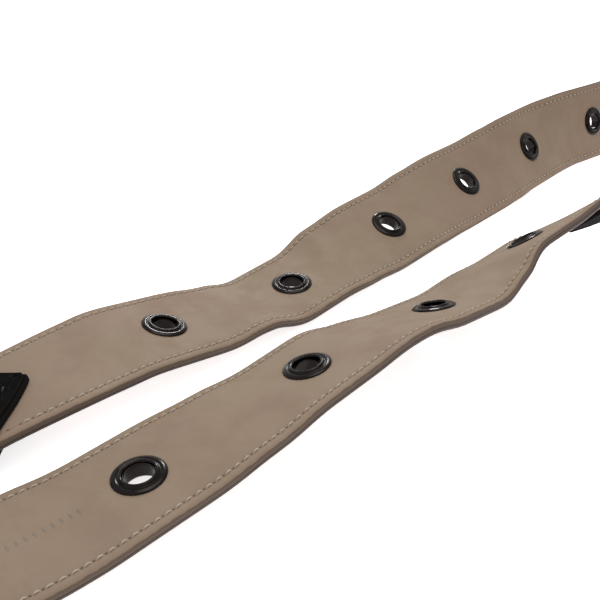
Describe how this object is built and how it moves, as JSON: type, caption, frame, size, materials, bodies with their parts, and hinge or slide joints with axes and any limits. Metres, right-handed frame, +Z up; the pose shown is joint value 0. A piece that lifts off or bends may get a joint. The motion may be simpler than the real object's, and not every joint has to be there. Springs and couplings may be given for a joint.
{
  "type": "suspenders",
  "caption": "Y-back suspenders of stitched beige leather straps with metal eyelets, black leather end tabs and back patch, an elastic rear strap and hinged trouser clips.",
  "frame": {"origin": "flat underside of the back patch, where the centrelines of the three straps meet", "axes": "+Z up off the table it is laid out on, -X along the shoulder straps to the two front clips, +X along the rear strap, +Y the left strap's side"},
  "size_m": [1.1259, 0.2295, 0.0382],
  "materials": {
    "beige_leather": "smooth vegetable-tanned face, satin",
    "lining_leather": "pinkish lining split, matte",
    "black_leather": "fine grained, satin",
    "black_elastic": "ribbed webbing, matte",
    "gunmetal": "black nickel, polished",
    "clip_metal": "black nickel, satin",
    "rubber": "ribbed, matte"
  },
  "bodies": {
    "straps": {"strap_face_left": "beige_leather", "strap_lining_left": "lining_leather", "shoulder_pad_left": "black_leather", "eyelet_left_01": "gunmetal", "eyelet_left_02": "gunmetal", "eyelet_left_03": "gunmetal", "eyelet_left_04": "gunmetal", "eyelet_left_05": "gunmetal", "eyelet_left_06": "gunmetal", "eyelet_left_07": "gunmetal", "eyelet_left_08": "gunmetal", "eyelet_left_09": "gunmetal", "eyelet_left_10": "gunmetal", "eyelet_left_11": "gunmetal", "eyelet_left_12": "gunmetal", "eyelet_left_13": "gunmetal", "strap_face_right": "beige_leather", "strap_lining_right": "lining_leather", "shoulder_pad_right": "black_leather", "eyelet_right_01": "gunmetal", "eyelet_right_02": "gunmetal", "eyelet_right_03": "gunmetal", "eyelet_right_04": "gunmetal", "eyelet_right_05": "gunmetal", "eyelet_right_06": "gunmetal", "eyelet_right_07": "gunmetal", "eyelet_right_08": "gunmetal", "eyelet_right_09": "gunmetal", "eyelet_right_10": "gunmetal", "eyelet_right_11": "gunmetal", "eyelet_right_12": "gunmetal", "eyelet_right_13": "gunmetal", "rear_elastic": "black_elastic", "back_patch_under": "black_leather", "back_patch_top": "black_leather", "end_tab_left": "black_leather", "patch_rivet_left": "gunmetal", "end_tab_right": "black_leather", "patch_rivet_right": "gunmetal", "end_tab_rear": "black_leather", "patch_rivet_rear": "gunmetal"},
    "left_ring": {"left_ring": "clip_metal"},
    "left_clip": {"left_clip_body": "clip_metal", "left_clip_pin": "clip_metal", "left_clip_spring": "clip_metal", "left_clip_grip": "rubber"},
    "left_jaw": {"left_clip_jaw": "clip_metal"},
    "right_ring": {"right_ring": "clip_metal"},
    "right_clip": {"right_clip_body": "clip_metal", "right_clip_pin": "clip_metal", "right_clip_spring": "clip_metal", "right_clip_grip": "rubber"},
    "right_jaw": {"right_clip_jaw": "clip_metal"},
    "rear_ring": {"rear_ring": "clip_metal"},
    "rear_clip": {"rear_clip_body": "clip_metal", "rear_clip_pin": "clip_metal", "rear_clip_spring": "clip_metal", "rear_clip_grip": "rubber"},
    "rear_jaw": {"rear_clip_jaw": "clip_metal"}
  },
  "joints": [
    {"name": "left_ring_swing", "type": "hinge", "parent": "straps", "child": "left_ring", "pos_m": [-0.801, 0.018, 0.00325], "axis": [0, 1, 0], "range_deg": [-80, 80]},
    {"name": "left_clip_swing", "type": "hinge", "parent": "left_ring", "child": "left_clip", "pos_m": [-0.8122, 0.018, 0.00325], "axis": [0, 1, 0], "range_deg": [-75, 75]},
    {"name": "left_jaw_open", "type": "hinge", "parent": "left_clip", "child": "left_jaw", "pos_m": [-0.833, 0.018, 0.00725], "axis": [0, 1, 0], "range_deg": [0, 22], "stiffness_Nm_per_rad": 0.02, "springref_deg": -17.19},
    {"name": "right_ring_swing", "type": "hinge", "parent": "straps", "child": "right_ring", "pos_m": [-0.8415, -0.025, 0.00325], "axis": [0, 1, 0], "range_deg": [-80, 80]},
    {"name": "right_clip_swing", "type": "hinge", "parent": "right_ring", "child": "right_clip", "pos_m": [-0.8527, -0.025, 0.00325], "axis": [0, 1, 0], "range_deg": [-75, 75]},
    {"name": "right_jaw_open", "type": "hinge", "parent": "right_clip", "child": "right_jaw", "pos_m": [-0.8735, -0.025, 0.00725], "axis": [0, 1, 0], "range_deg": [0, 22], "stiffness_Nm_per_rad": 0.02, "springref_deg": -17.19},
    {"name": "rear_ring_swing", "type": "hinge", "parent": "straps", "child": "rear_ring", "pos_m": [0.184, 0, 0.00325], "axis": [0, -1, 0], "range_deg": [-80, 80]},
    {"name": "rear_clip_swing", "type": "hinge", "parent": "rear_ring", "child": "rear_clip", "pos_m": [0.1952, 0, 0.00325], "axis": [0, -1, 0], "range_deg": [-75, 75]},
    {"name": "rear_jaw_open", "type": "hinge", "parent": "rear_clip", "child": "rear_jaw", "pos_m": [0.216, 0, 0.00725], "axis": [0, -1, 0], "range_deg": [0, 22], "stiffness_Nm_per_rad": 0.02, "springref_deg": -17.19}
  ]
}
